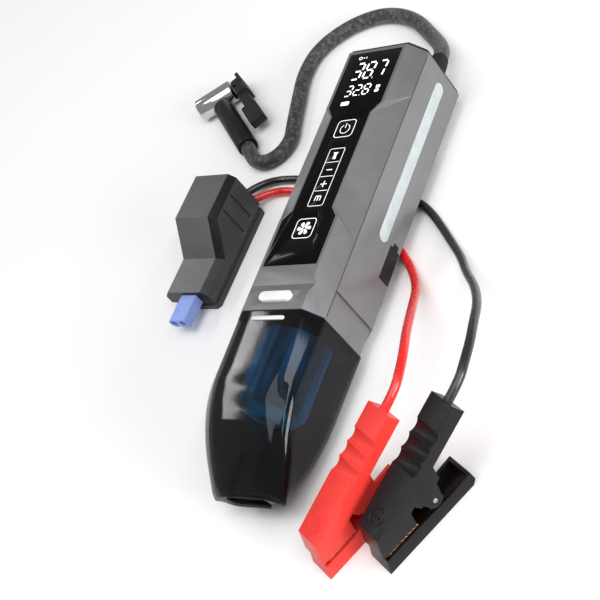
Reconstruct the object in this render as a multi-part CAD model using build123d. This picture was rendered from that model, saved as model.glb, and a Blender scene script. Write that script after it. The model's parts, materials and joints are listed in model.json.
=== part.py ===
from build123d import *
import os
from math import cos, radians, sin, tan

# A hand-held jump starter with a built-in vacuum cleaner and tyre pump, lying on its back with its
# air hose and its jump lead laid out beside it. Millimetres, +Z up. The origin is the middle of the
# main unit's underside. -Y is the suction end, the display faces +Z and the side lamp faces +X.

# Driving dimensions of the main unit
LENGTH = 317.4
WIDTH = 68.0
HEIGHT = 64.0
FACE_HALF = 23.0  # half of the flat front face between the two chamfers
CHAMFER_Z = 10.7
WALL = 2.6
SEAM = 0.15
GAP = 0.3  # clearance round a moving piece
HALF = WIDTH / 2
MIDDLE_Z = HEIGHT / 2
PARTING_Z = HEIGHT - CHAMFER_Z

# Stations along the main unit, from the suction end to the tail
CAP_Y = 160.0
TIP_Y = CAP_Y - LENGTH
CUP_Y = -51.0
COLLAR_Y = -31.0
TAIL_Y = 156.0
SHOULDER_Y = -95.0  # where the cup starts to taper
MOUTH_HALF, MOUTH_LOW, MOUTH_HIGH = 15.8, 16.4, 25.4
DUCT_Y = -130.0  # the mouth's duct ends here, inside the cup
COLLAR_STEP = 1.3  # the collar's sides stand this much inside the shell's
COLLAR_WALL = 3.4

# Control panel on the front face
PANEL_THICK = 1.6
PANEL_FLOOR = HEIGHT - PANEL_THICK
PANEL_WIDE = 20.7
PANEL_NARROW = 15.1
PANEL_FRONT, PANEL_BACK = -18.5, 153.5
WAIST_FRONT, WAIST_BACK = 24.0, 99.5
WAIST_FACE = 16.5  # half of the flat face beside the narrow part of the panel
KEY_TRAVEL = 0.6
KEY_BASE = HEIGHT - 4.8
COLUMN_X, COLUMN_WIDE = 1.0, 11.0
COLUMN_FRONT, COLUMN_BACK = 26.3, 71.5

# Finger grip across the back, which also lets the leads pass under the unit
GRIP_FRONT, GRIP_BACK, GRIP_DEPTH, GRIP_RAMP = 10.0, 114.0, 9.0, 8.0

# Side lamp and socket door on the +X side
LAMP_FRONT, LAMP_BACK, LAMP_LOW, LAMP_HIGH = 21.0, 148.0, 26.0, 36.0
DOOR_FRONT, DOOR_BACK, DOOR_LOW, DOOR_HIGH = 0.0, 24.6, 11.0, 22.0
HINGE_X, HINGE_Y = 33.4, 26.0

BOSS_HIGH = 7.0  # the case screws' bosses inside the back

# Latch button that frees the dust cup
LATCH_Y, LATCH_WIDE, LATCH_DEEP, LATCH_RAISED = -42.0, 24.6, 7.0, 2.3

# Vacuum and tyre pump
FAN_FRONT, FAN_BACK, FAN_R = -37.0, -28.0, 22.0
FRAME_R = 25.0  # outer radius of the filter's tube
SHAFT_R, RUNNING = 1.5, 0.05
PUMP_X, PUMP_Z, THROW, PIN_R = -12.0, 30.0, 3.0, 1.2
PISTON_Y, BORE_R = 135.0, 8.6
HOSE_EXIT = Vector(16.0, 170.0, 22.0)

# Air hose, sleeve and valve chuck
HOSE_R, SLEEVE_R = 5.5, 7.7
SLEEVE_START = Vector(-143.0, 135.0, 7.8)
SLEEVE_HEADING, CHUCK_HEADING = 135.5, 214.0
CHUCK_REACH = 74.3  # from the sleeve's start to the chuck's middle
CHUCK_R, VALVE_R, VALVE_DEPTH = 9.0, 4.1, 8.0
CHUCK_Z = 9.1
SEAL_R, SEAL_DEEP = 5.4, 4.0
PIVOT_BACK = 18.5  # the lever's pivot behind the chuck's middle

# Jump lead: smart module, cables and clamps
CABLE_R = 2.8
MODULE_REAR = Vector(-126.6, 80.5, 0)
MODULE_TURN = -2.0
MODULE_LONG, MODULE_WIDE, MODULE_HIGH, NECK_HIGH = 84.0, 39.5, 42.5, 20.0
BASE_HIGH, BAND_HIGH = 4.2, 8.2  # the module's bottom rib and the inset band above it
PLUG_X, PLUG_HALF, PLUG_R, MODULE_PLUG_Z = 1.5, 4.0, 4.2, 12.9
CLAMP_WIDE, CLAMP_SLOPE, PIVOT_X, PIVOT_Z, EAR_R = 19.5, 20.0, 42.0, 14.5, 5.0
SCALLOP_R, TOOTH_PITCH, JAW_FRONT = 6.5, 3.0, 4.2
CLAMPS = {"red": (53.0, -183.0, 59.5), "black": (91.2, -176.2, 58.9)}

HOSE_ROUTE = [
    (16, 170, 22), (15.5, 184, 19.6), (6, 202, 12.8), (-12, 221, 6.6), (-36, 244, 5.6),
    (-66, 254.5, 5.6), (-96, 247, 5.6), (-117, 228, 5.6), (-121, 204, 5.6), (-115, 177, 5.6),
    (-109, 151, 5.6), (-105.5, 139, 5.6), (-109, 127, 5.7), (-119, 119.5, 5.9),
    (-130.5, 121, 6.3), (-139, 129.8, 7.1),
]
RED_ROUTE = [
    (-116, 82.5, 8.5), (-107.5, 89.5, 6), (-97.5, 93.5, 3.6), (-85.5, 92.5, 3.1), (-62, 86, 3.1),
    (-38, 75.5, 3.1), (-14, 62.5, 3.1), (8, 48.5, 3.1), (24, 36.5, 3.1), (36.6, 24, 3.4),
    (47, 11, 5.8), (57, -3, 12), (67, -20, 22.5), (78, -38, 34.5), (88.7, -57.9, 45.5),
    (97.2, -74, 52.6), (101.2, -88, 55),
]
BLACK_ROUTE = [
    (-130.5, 82.5, 9), (-125, 93, 6.5), (-116, 101, 4.2), (-104, 104.5, 3.1), (-83, 103, 3.1),
    (-54, 98, 3.1), (-25, 91, 3.1), (3, 82.5, 3.1), (28, 72.5, 3.1), (41, 62.5, 3.1),
    (53, 50, 3.1), (64.5, 37.5, 3.9), (78, 23, 7.5), (91, 6, 14.5), (108.5, -12, 25),
    (122.5, -32, 36), (131.5, -51.6, 46), (138.5, -68.6, 52.8), (140.8, -82.5, 55),
]


# ---------------------------------------------------------------- shared shapes
def box(low, high):
    size = [b - a for a, b in zip(low, high)]
    centre = [(a + b) / 2 for a, b in zip(low, high)]
    return Pos(*centre) * Box(*size)


def rod(x, z, radius, y_low, y_high):
    """A cylinder along Y."""
    return Pos(x, (y_low + y_high) / 2, z) * Rot(90, 0, 0) * Cylinder(radius, y_high - y_low)


def plate_y(points, y_low, y_high):
    """A polygon of (x, z) points, extruded from y_low to y_high."""
    plane = Plane(origin=(0, y_low, 0), x_dir=(1, 0, 0), z_dir=(0, -1, 0))
    return extrude(plane * Polygon(*points, align=None), amount=y_high - y_low, dir=(0, 1, 0))


def plate_x(points, x_low, x_high):
    """A polygon of (y, z) points, extruded from x_low to x_high."""
    plane = Plane(origin=(x_low, 0, 0), x_dir=(0, 1, 0), z_dir=(1, 0, 0))
    return extrude(plane * Polygon(*points, align=None), amount=x_high - x_low, dir=(1, 0, 0))


def plate_z(points, z_low, z_high):
    """A polygon of (x, y) points, extruded from z_low to z_high."""
    face = Plane.XY.offset(z_low) * Polygon(*points, align=None)
    return extrude(face, amount=z_high - z_low, dir=(0, 0, 1))


def rounded_slab(x, y, wide, deep, corner, z_low, z_high):
    face = Pos(x, y, z_low) * RectangleRounded(wide, deep, corner)
    return extrude(face, amount=z_high - z_low)


def octagon(inset):
    """The main unit's cross-section, moved inwards by the inset."""
    face = FACE_HALF - 0.406 * inset
    side = HALF - inset
    edge = CHAMFER_Z + 0.4226 * inset
    low, high = inset, HEIGHT - inset
    return [(-face, low), (face, low), (side, edge), (side, HEIGHT - edge),
            (face, high), (-face, high), (-side, HEIGHT - edge), (-side, edge)]


def tube(route, radius, name):
    """A cord's solid: straight runs joined by the largest tangent arcs that fit."""
    points = [Vector(*p) for p in route]
    radii = []
    for before, here, after in zip(points, points[1:], points[2:]):
        turn = (here - before).get_angle(after - here)
        shorter = min((here - before).length, (after - here).length)
        radii.append(0.45 * shorter / tan(radians(turn) / 2))
    path = FilletPolyline(*points, radius=radii)
    section = Plane(origin=path @ 0, z_dir=path % 0) * Circle(radius)
    solid = sweep(section, path=path)
    exact = 3.141593 * radius**2 * path.length
    print(name, "length", round(path.length, 1), "volume ratio", round(solid.volume / exact, 4),
          "radii", [round(r) for r in radii])
    return solid


# ---------------------------------------------------------------- main unit
def waist_wedge(inset):
    """The wider chamfers beside the narrow part of the panel, as a solid to take away."""
    face = WAIST_FACE - 0.7 * inset
    drop = PARTING_Z - 0.4226 * inset
    slope = 8 / (FACE_HALF - WAIST_FACE)
    run = slope * (HALF - face)
    wedge = plate_y([(face, HEIGHT - inset), (HALF - inset, drop), (HALF + 6, drop),
                     (HALF + 6, HEIGHT + 6), (face, HEIGHT + 6)], 0, 125)
    plan = plate_z([(face, WAIST_FRONT - inset), (HALF + 6, WAIST_FRONT - inset - run * 1.2),
                    (HALF + 6, WAIST_BACK + inset + run * 1.2), (face, WAIST_BACK + inset)], 40, 75)
    right = wedge & plan
    return right + mirror(right, about=Plane.YZ)


def grip_cut(inset):
    front, back = GRIP_FRONT - inset, GRIP_BACK + inset
    return plate_x([(front - 1, -1), (front + GRIP_RAMP, GRIP_DEPTH + inset),
                    (back - GRIP_RAMP, GRIP_DEPTH + inset), (back + 1, -1)], -40, 40)


def case_outside():
    return plate_y(octagon(0), COLLAR_Y, TAIL_Y) - waist_wedge(0) - grip_cut(0)


def case_inside():
    return plate_y(octagon(WALL), COLLAR_Y - 1, TAIL_Y + 1) - waist_wedge(WALL) - grip_cut(WALL)


def panel_outline(grow):
    wide, narrow = PANEL_WIDE + grow, PANEL_NARROW + grow
    return [(-wide, PANEL_FRONT - grow), (wide, PANEL_FRONT - grow), (wide, WAIST_FRONT - 7),
            (narrow, WAIST_FRONT), (narrow, WAIST_BACK), (wide, WAIST_BACK + 8),
            (wide, PANEL_BACK + grow), (-wide, PANEL_BACK + grow), (-wide, WAIST_BACK + 8),
            (-narrow, WAIST_BACK), (-narrow, WAIST_FRONT), (-wide, WAIST_FRONT - 7)]


def key_places():
    """Each key's name, centre and size."""
    pitch = (COLUMN_BACK - COLUMN_FRONT) / 4
    places = [("key_power", 0.0, 88.0, 15.5, 15.0), ("key_fan", 0.0, 9.0, 16.0, 16.0)]
    for index, name in enumerate(["key_mode", "key_plus", "key_minus", "key_light"]):
        places.append((name, COLUMN_X, COLUMN_FRONT + pitch * (index + 0.5), COLUMN_WIDE, pitch - 0.5))
    return places


def key_openings(z_low, z_high):
    cut = rounded_slab(COLUMN_X, (COLUMN_FRONT + COLUMN_BACK) / 2, COLUMN_WIDE + 2 * GAP,
                       COLUMN_BACK - COLUMN_FRONT + 2 * GAP, 1.2, z_low, z_high)
    for _, x, y, wide, deep in key_places()[:2]:
        cut += rounded_slab(x, y, wide + 2 * GAP, deep + 2 * GAP, 2.6, z_low, z_high)
    return cut


def make_key(x, y, wide, deep):
    corner = 2.3 if deep > 12 else 0.8
    cap = rounded_slab(x, y, wide, deep, corner, KEY_BASE, HEIGHT)
    flange = rounded_slab(x, y, wide + 2.4, deep, corner, KEY_BASE + 0.7, HEIGHT - WALL - GAP)
    return cap + flange


def make_top_shell():
    shell = (case_outside() - case_inside()) & box((-40, COLLAR_Y, PARTING_Z), (40, TAIL_Y, 70))
    collar_top = plate_y(octagon(0), CUP_Y, COLLAR_Y) & box((-40, -60, PARTING_Z), (40, 0, 70))
    collar = plate_y(octagon(COLLAR_STEP), CUP_Y, COLLAR_Y - SEAM) + collar_top
    collar -= plate_y(octagon(COLLAR_WALL), CUP_Y - 1, COLLAR_Y + 1)
    dip = plate_x([(-37, HEIGHT + 1), (-37, HEIGHT - 0.6), (-32, HEIGHT - 1.6),
                   (-26, HEIGHT + 0.4), (-26, HEIGHT + 1)], -30, 30)
    shell = shell + collar - dip
    shell -= plate_z(panel_outline(SEAM), PANEL_FLOOR, HEIGHT + 1)
    shell -= key_openings(HEIGHT - WALL - 1, HEIGHT)
    shell -= box((-16, 110, 60), (16, 150, HEIGHT))
    return shell - latch_hole()


def make_bottom_shell():
    shell = (case_outside() - case_inside()) & box((-40, COLLAR_Y, -1), (40, TAIL_Y, PARTING_Z - SEAM))
    lamp = Pos(HALF, (LAMP_FRONT + LAMP_BACK) / 2, (LAMP_LOW + LAMP_HIGH) / 2) * Rot(0, 90, 0)
    slot = SlotOverall(LAMP_BACK - LAMP_FRONT, LAMP_HIGH - LAMP_LOW, rotation=90)
    shell -= extrude(lamp * slot, amount=10, both=True)
    shell -= box((HALF - 6, DOOR_FRONT, DOOR_LOW), (HALF + 1, DOOR_BACK, DOOR_HIGH))
    shell -= box((HALF - 6, DOOR_BACK - 1, 13.6), (HALF + 1, 28, 19.4))
    for index in range(6):
        y = -24 + 4 * index
        shell -= box((-HALF - 1, y, 20), (-HALF + 6, y + 2, 44))
    shell -= box((-HALF - 1, 4, 14), (-HALF + 6, 14, 18))
    for x, y in screw_places():
        shell += Pos(x, y, BOSS_HIGH / 2 + 0.5) * Cylinder(5.5, BOSS_HIGH - 1)
        shell -= Pos(x, y, 0) * Cylinder(3.2, 8.4) + Pos(x, y, BOSS_HIGH / 2) * Cylinder(2.1, BOSS_HIGH + 4)
    return shell


def screw_places():
    return [(-17, -20), (17, -20), (-17, 132), (17, 132)]


def make_screws():
    screws = []
    for x, y in screw_places():
        screws.append(Pos(x, y, 3.3) * Cylinder(2.9, 1.6) + Pos(x, y, 5) * Cylinder(2.0, 4))
    return Compound(children=screws)


def make_rear_cap():
    cap = plate_y(octagon(1.5), TAIL_Y + SEAM, CAP_Y)
    cap = chamfer(cap.faces().sort_by(Axis.Y)[-1].edges(), 1.4)
    spigot = plate_y(octagon(WALL + SEAM), TAIL_Y - 5, TAIL_Y + SEAM)
    spigot -= plate_y(octagon(WALL + 2), TAIL_Y - 6, TAIL_Y + SEAM)
    return cap + spigot - rod(HOSE_EXIT.X, HOSE_EXIT.Z, 7.1, TAIL_Y - 2, CAP_Y + 1)


def make_lamp(x_low, x_high, shrink):
    centre = Pos(x_low, (LAMP_FRONT + LAMP_BACK) / 2, (LAMP_LOW + LAMP_HIGH) / 2) * Rot(0, 90, 0)
    slot = SlotOverall(LAMP_BACK - LAMP_FRONT - 2 * shrink, LAMP_HIGH - LAMP_LOW - 2 * shrink,
                       rotation=90)
    return extrude(centre * slot, amount=x_high - x_low)


def latch_slot(x_wide, y_deep, z_low, z_high):
    return extrude(Pos(0, LATCH_Y, z_low) * SlotOverall(x_wide, y_deep), amount=z_high - z_low)


def latch_hole():
    return latch_slot(LATCH_WIDE + 2 * GAP, LATCH_DEEP + 2 * GAP, HEIGHT - 8, HEIGHT + 4)


def make_latch_button():
    inner = HEIGHT - COLLAR_WALL
    button = latch_slot(LATCH_WIDE, LATCH_DEEP, inner - 1.8, HEIGHT + LATCH_RAISED)
    button = chamfer(button.faces().sort_by(Axis.Z)[-1].edges(), 0.6)
    return button + box((-15, LATCH_Y - 2.5, inner - 1.8), (15, LATCH_Y + 2.5, inner - GAP))


def make_latch_spring():
    low, high = MIDDLE_Z + FRAME_R + 0.1, HEIGHT - COLLAR_WALL - 1.85
    return Pos(0, LATCH_Y, (low + high) / 2) * (Cylinder(3, high - low) - Cylinder(2.2, high - low))


def make_display_module():
    return box((-17, 108, HEIGHT - 6.7), (17, 150.5, HEIGHT - WALL - 0.4))


def make_keypad_mat():
    mat = box((-9.5, -1, 56.6), (9.5, 98, 58.2))
    for _, x, y, _, _ in key_places():
        mat += Pos(x, y, 58.3) * Cylinder(3, 0.5)
    return mat


def make_main_board():
    board = box((-22, -8, 53.6), (22, 148, 55.2))
    for y in (20, 62, 104):
        board += box((-18, y, 55.2), (-11, y + 9, 56.4))
    return board


# ---------------------------------------------------------------- battery
def make_cells():
    cells = [rod(x, z, 9.2, 24, 89) for x in (-9.7, 9.7) for z in (21.6, 41.2)]
    links = box((-15, 89, 16), (15, 89.4, 26)) + box((-15, 89, 36), (15, 89.4, 46))
    return Compound(children=cells) + links


def make_cell_holder():
    holder = box((-21, 20.5, 11.9), (21, 23.8, 53.5)) + box((-21, 89.6, 11.9), (21, 92.5, 53.5))
    return holder + box((-21, 23, 29), (-19.4, 90, 34)) + box((19.4, 23, 29), (21, 90, 34))


# ---------------------------------------------------------------- vacuum
def make_fan_housing():
    ring = rod(0, MIDDLE_Z, 27, -37.8, -24) - rod(0, MIDDLE_Z, FAN_R + 1.2, -42, -26)
    ring -= rod(0, MIDDLE_Z, 18.1, -27, -20)
    return ring - box((-30, -36, 26), (-20, -28, 38))


def make_vacuum_motor():
    can = rod(0, MIDDLE_Z, 18, -26, 14) + rod(0, MIDDLE_Z, 6, 14, 18)
    return can - rod(0, MIDDLE_Z, SHAFT_R + RUNNING, -27, 6)


def make_impeller():
    wheel = rod(0, MIDDLE_Z, FAN_R, FAN_BACK - 1.5, FAN_BACK) + rod(0, MIDDLE_Z, 5, FAN_FRONT, FAN_BACK)
    for index in range(9):
        blade = Pos(12.5, (FAN_FRONT + FAN_BACK) / 2, 0) * Box(17, FAN_BACK - FAN_FRONT, 1.4)
        wheel += Pos(0, 0, MIDDLE_Z) * Rot(0, index * 40, 0) * blade
    return wheel + rod(0, MIDDLE_Z, SHAFT_R, FAN_BACK - 1, 4)


def make_filter_frame():
    flange = plate_y(octagon(COLLAR_WALL + GAP), -45, -42.2) + rod(0, MIDDLE_Z, FRAME_R, -56, -39)
    flange -= box((-17, -46, MIDDLE_Z + FRAME_R), (17, -38, HEIGHT))
    return flange - rod(0, MIDDLE_Z, 23, -57, -38)


def make_filter_element():
    pleats = rod(0, MIDDLE_Z, 19, -104, -46) + rod(0, MIDDLE_Z, 22.8, -50, -46)
    for index in range(18):
        rib = Pos(19.6, -75, 0) * Box(4.4, 50, 2.4)
        pleats += Pos(0, 0, MIDDLE_Z) * Rot(0, index * 20, 0) * rib
    return pleats - rod(0, MIDDLE_Z, 16.5, -101, -45)


def make_cup_seal():
    return rod(0, MIDDLE_Z, 26.2, -50, -47) - rod(0, MIDDLE_Z, FRAME_R, -51, -46)


# ---------------------------------------------------------------- dust cup
def cup_section(s, inset):
    """The cup's cross-section a share s of the way from its shoulder to its tip."""
    y = SHOULDER_Y + (TIP_Y - SHOULDER_Y) * s
    top = 63.5 - 35.7 * s**1.8 - inset
    bottom = 0.5 + 12.7 * s**2.8 + inset
    high_side = HALF - 0.2 - 5.0 * s**2.4 - inset
    low_side = HALF - 0.6 - 9.0 * s**1.33 - inset
    face = 22.5 - 4.0 * s - 0.4 * inset
    foot = 22.5 - 7.5 * s - 0.4 * inset
    chamfer_high = 10.7 * (1 - 0.35 * s)
    return y, [(-foot, bottom), (foot, bottom), (low_side, bottom + chamfer_high),
               (high_side, top - chamfer_high), (face, top), (-face, top),
               (-high_side, top - chamfer_high), (-low_side, bottom + chamfer_high)]


def cup_solid(inset, last):
    collar = Plane(origin=(0, CUP_Y, 0), x_dir=(1, 0, 0), z_dir=(0, -1, 0))
    faces = [collar * Polygon(*octagon(inset + 0.3), align=None)]
    for step in range(6):
        y, points = cup_section(last * step / 5, inset)
        plane = Plane(origin=(0, y, 0), x_dir=(1, 0, 0), z_dir=(0, -1, 0))
        faces.append(plane * Polygon(*points, align=None))
    return loft(faces, ruled=True)


def make_dust_cup():
    cup = cup_solid(0, 1.0) - cup_solid(2.0, 0.965)
    rim = plate_y(octagon(0.3), CUP_Y - 3, CUP_Y - GAP)
    rim += plate_y(octagon(COLLAR_WALL + GAP), CUP_Y - 3, -45.6)
    rim -= plate_y(octagon(COLLAR_WALL + GAP + 1.6), CUP_Y - 4, -45)
    cup -= box((-40, CUP_Y - GAP, -5), (40, CUP_Y + 10, 70))
    duct = box((-MOUTH_HALF - 1.4, TIP_Y, MOUTH_LOW - 1.4), (MOUTH_HALF + 1.4, DUCT_Y, MOUTH_HIGH + 1.4))
    duct -= box((-MOUTH_HALF, TIP_Y - 1, MOUTH_LOW), (MOUTH_HALF, DUCT_Y + 1, MOUTH_HIGH))
    cup -= box((-MOUTH_HALF, TIP_Y - 1, MOUTH_LOW), (MOUTH_HALF, TIP_Y + 8, MOUTH_HIGH))
    return cup + rim + duct + box((-12.5, -58.2, HEIGHT - 1), (12.5, -55.8, HEIGHT + 0.6))


# ---------------------------------------------------------------- tyre pump
def make_pump_motor():
    can = rod(PUMP_X, PUMP_Z, 12, 96, 124.5)
    return can - rod(PUMP_X, PUMP_Z, SHAFT_R + RUNNING, 108, 125)


def make_crankcase():
    case = box((-27, 124.8, 16), (4, 143, 44)) - box((-25, 127, 18), (2, 141, 42))
    case -= rod(PUMP_X, PUMP_Z, 4, 124, 128)
    return case - Pos(3, PISTON_Y, PUMP_Z) * Rot(0, 90, 0) * Cylinder(5, 8)


def make_pump_crank():
    crank = rod(PUMP_X, PUMP_Z, SHAFT_R, 110, 130) + rod(PUMP_X, PUMP_Z, 6, 129, 132)
    return crank + rod(PUMP_X, PUMP_Z + THROW, PIN_R, 131, 138)


def make_pump_cylinder():
    barrel = Pos(15.2, PISTON_Y, PUMP_Z) * Rot(0, 90, 0) * Cylinder(10.5, 22)
    barrel -= Pos(12, PISTON_Y, PUMP_Z) * Rot(0, 90, 0) * Cylinder(BORE_R, 18)
    for index in range(4):
        fin_x = 8 + 5 * index
        fin = Pos(fin_x, PISTON_Y, PUMP_Z) * Rot(0, 90, 0) * (Cylinder(12.5, 1.2) - Cylinder(10, 2))
        barrel += fin
    return barrel + rod(HOSE_EXIT.X, HOSE_EXIT.Z, 3, 142.5, 153.8)


def make_pump_piston():
    half_x = 2 * THROW + PIN_R + GAP
    half_z = THROW + PIN_R + GAP
    yoke = Box(2 * half_x + 2.4, 3, 2 * half_z + 2.4) - Box(2 * half_x, 4, 2 * half_z)
    piston = Pos(PUMP_X, PISTON_Y, PUMP_Z) * yoke
    piston += Pos(3.5, PISTON_Y, PUMP_Z) * Rot(0, 90, 0) * Cylinder(1.5, 14)
    return piston + Pos(11, PISTON_Y, PUMP_Z) * Rot(0, 90, 0) * Cylinder(BORE_R - 0.1, 4)


# ---------------------------------------------------------------- sockets
def make_port_frame():
    return box((29.7, -2, 12), (31.3, 30, 24)) - box((29, 2.8, 12.3), (32, 19.6, 21))


def make_ec5_socket():
    body = box((18, 3, 12.4), (31.3, 19.4, 20.8))
    for y in (7.2, 15.2):
        body -= Pos(26, y, 16.6) * Rot(0, 90, 0) * Cylinder(2.9, 12)
    return body


def make_port_flap():
    flap = box((HALF - 2.1, DOOR_FRONT + GAP, DOOR_LOW + GAP), (HALF, DOOR_BACK - 0.6, DOOR_HIGH - GAP))
    strap = box((HALF - 1.3, DOOR_BACK - 1, 14), (HALF, 27, 19))
    return flap + strap


def make_usb_port():
    shell = box((-HALF + 0.6, 4.3, 14.3), (-HALF + 8, 13.7, 17.7))
    opening = box((-HALF, 4.8, 14.8), (-HALF + 6, 13.2, 17.2))
    tongue = box((-HALF + 1.5, 6.2, 15.7), (-HALF + 7, 11.8, 16.3))
    return shell - opening + tongue


# ---------------------------------------------------------------- hose and chuck
def heading(degrees):
    return Vector(cos(radians(degrees)), sin(radians(degrees)), 0)


def chuck_place():
    middle = SLEEVE_START + heading(SLEEVE_HEADING) * CHUCK_REACH
    return Pos(middle.X, middle.Y, CHUCK_Z) * Rot(0, 0, CHUCK_HEADING)


def sleeve_rod(start, end, radius):
    """A cylinder on the sleeve's axis, from start to end millimetres along it."""
    origin = SLEEVE_START + heading(SLEEVE_HEADING) * start
    face = Plane(origin=origin, z_dir=heading(SLEEVE_HEADING)) * Circle(radius)
    return extrude(face, amount=end - start)


def make_hose_gland():
    gland = rod(HOSE_EXIT.X, HOSE_EXIT.Z, 7, 154, 163) + rod(HOSE_EXIT.X, HOSE_EXIT.Z, 8.2, 160.2, 162)
    return gland + rod(HOSE_EXIT.X, HOSE_EXIT.Z, 6.2, 162, HOSE_EXIT.Y)


def make_air_hose():
    end = SLEEVE_START + heading(SLEEVE_HEADING) * 5.5
    return tube(HOSE_ROUTE + [tuple(end)], HOSE_R, "air_hose")


def make_hose_sleeve():
    sleeve = sleeve_rod(0, CHUCK_REACH - CHUCK_R - 1.8, SLEEVE_R)
    sleeve -= sleeve_rod(-1, 5.6, HOSE_R + 0.1)
    return sleeve - sleeve_rod(CHUCK_REACH - CHUCK_R - 9, CHUCK_REACH, 4.05)


def make_chuck_body():
    along = Rot(0, 90, 0)
    body = Pos(1, 0, 0) * along * Cylinder(CHUCK_R, 32)
    body = chamfer(body.edges().filter_by(GeomType.CIRCLE), 1.2)
    body -= Pos(17 - VALVE_DEPTH / 2, 0, 0) * along * Cylinder(VALVE_R, VALVE_DEPTH)
    body -= Pos(17 - VALVE_DEPTH - SEAL_DEEP / 2, 0, 0) * along * Cylinder(SEAL_R, SEAL_DEEP)
    tongue = Box(6, 6.4, 5) + Pos(-3, 0, 0) * Cylinder(3.2, 5)
    body += Pos(3 - PIVOT_BACK, 0, 0) * tongue
    body -= Pos(-PIVOT_BACK, 0, 0) * Cylinder(SHAFT_R + RUNNING, 12)
    neck = sleeve_rod(CHUCK_REACH - CHUCK_R - 8.5, CHUCK_REACH - CHUCK_R + 1.5, 4)
    return chuck_place() * body + neck


def make_chuck_seal():
    ring = Cylinder(SEAL_R - 0.05, 3) - Cylinder(2.2, 4)
    return chuck_place() * Pos(17 - VALVE_DEPTH - SEAL_DEEP / 2 - 0.2, 0, 0) * Rot(0, 90, 0) * ring


def make_chuck_lever():
    lever = Cylinder(3.2, 12.4) + box((-4.6, -3.2, -6.2), (0, 9, 6.2)) - Box(7.4, 20, 5.6)
    lever += Cylinder(SHAFT_R, 12)
    outline = [(-7.5, -6.5), (-5, -8.6), (11, -8.6), (15, -4), (15, 5), (9, 8.6), (-5, 8.6), (-7.5, 6.5)]
    back = plate_x(outline, -6.4, -3.8)
    lever += back + box((-4.6, 6.5, -6.2), (3.0, 15, 6.2)) + box((-4.6, 14, -2.5), (3.4, 34, 4.6))
    lever += rounded_slab(0.6, 45, 12.4, 24, 1.5, -1.6, 4.6)
    sleeve_lean = SLEEVE_HEADING - CHUCK_HEADING + 90
    return chuck_place() * Pos(-PIVOT_BACK, 0, 0) * Rot(0, 0, sleeve_lean) * lever


# ---------------------------------------------------------------- jump lead
def module_place():
    return Pos(MODULE_REAR.X, MODULE_REAR.Y, 0) * Rot(0, 0, MODULE_TURN)


def make_module_top():
    side = [(-MODULE_LONG, BAND_HIGH), (0, BAND_HIGH), (0, MODULE_HIGH), (-37, MODULE_HIGH),
            (-55.5, NECK_HIGH), (-MODULE_LONG, NECK_HIGH)]
    top = plate_x(side, -MODULE_WIDE / 2, MODULE_WIDE / 2)
    rims = [e for e in top.edges() if abs(e.center().X) > 10 and e.center().Z > NECK_HIGH - 1
            and abs((e @ 1 - e @ 0).Y) > 1]
    top = chamfer(rims, 4.6)
    for y in (-15.5, -28.5):
        groove = box((MODULE_WIDE / 2 - 0.9, y, 10), (30, y + 2.6, 36.5))
        top -= groove + mirror(groove, about=Plane.YZ)
    return module_place() * top


def make_module_base():
    base = box((-MODULE_WIDE / 2, -MODULE_LONG, 0), (MODULE_WIDE / 2, 0, BASE_HIGH))
    base = chamfer(base.edges().filter_by(Axis.Z), 2.5)
    half = MODULE_WIDE / 2 - 1.5
    return module_place() * (base + box((-half, -MODULE_LONG + 1.5, 2), (half, -1.5, BAND_HIGH)))


def make_lead_boot():
    boot = box((-14, 0.05, 3), (14, 4.5, 15))
    return module_place() * chamfer(boot.edges().filter_by(Axis.Y), 1.5)


def make_ec5_plug():
    front = -MODULE_LONG - 0.1
    end = front - 20.5
    mid = MODULE_PLUG_Z
    shell = box((0, end, mid - PLUG_R), (PLUG_HALF + PLUG_R, front, mid + PLUG_R))
    shell += box((-4, front - 12, mid - PLUG_R), (4, front, mid + PLUG_R))
    for x in (-PLUG_HALF, PLUG_HALF):
        shell += rod(x, mid, PLUG_R, end, front)
    for x in (-PLUG_HALF, PLUG_HALF):
        shell -= rod(x, mid, 2.8, end - 1, front - 8)
    return module_place() * Pos(PLUG_X, 0, 0) * shell


def clamp_place(colour):
    x, y, turn = CLAMPS[colour]
    return Pos(x, y, 0) * Rot(0, 0, turn)


def pin_rod(radius, length):
    return Pos(PIVOT_X, 0, PIVOT_Z) * Rot(90, 0, 0) * Cylinder(radius, length)


UPPER_ARM = [(0, 12.2), (4.6, 25.67), (82.7, 54.1), (85.9, 45.3), (48, 31.5), (28, 21.5), (26, 12.2)]
UPPER_HOLLOW = [(3.2, 11), (6.4, 22.5), (77, 48.5), (80, 41), (48, 27), (30, 17), (28, 11)]
LOWER_ARM = [(-3, 0), (63, 0), (66, 3), (66, 9), (52, 8), (26, 9), (0.6, 9)]


def make_arm_upper(colour):
    half = CLAMP_WIDE / 2
    arm = plate_y(UPPER_ARM, -half, half)
    ear = plate_y([(34, 18), (52, 24), (54, 36), (30, 26)], half - 1.8, half)
    ear += Pos(0, half - 0.9, 0) * pin_rod(EAR_R, 1.8)
    ear += plate_y([(37, PIVOT_Z), (47, PIVOT_Z), (50, 26), (34, 22)], half - 1.8, half)
    arm = arm + ear + mirror(ear, about=Plane.XZ)
    arm -= plate_y(UPPER_HOLLOW, -half + 1.8, half - 1.8)
    for index in range(3):
        at = 44.5 + 8.6 * index
        rise = 24 + at * tan(radians(CLAMP_SLOPE)) + SCALLOP_R - 1.6
        arm -= Pos(at, 0, rise) * Rot(90, 0, 0) * Cylinder(SCALLOP_R, 40)
    arm -= pin_rod(1.5, 40)
    return clamp_place(colour) * arm


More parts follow.
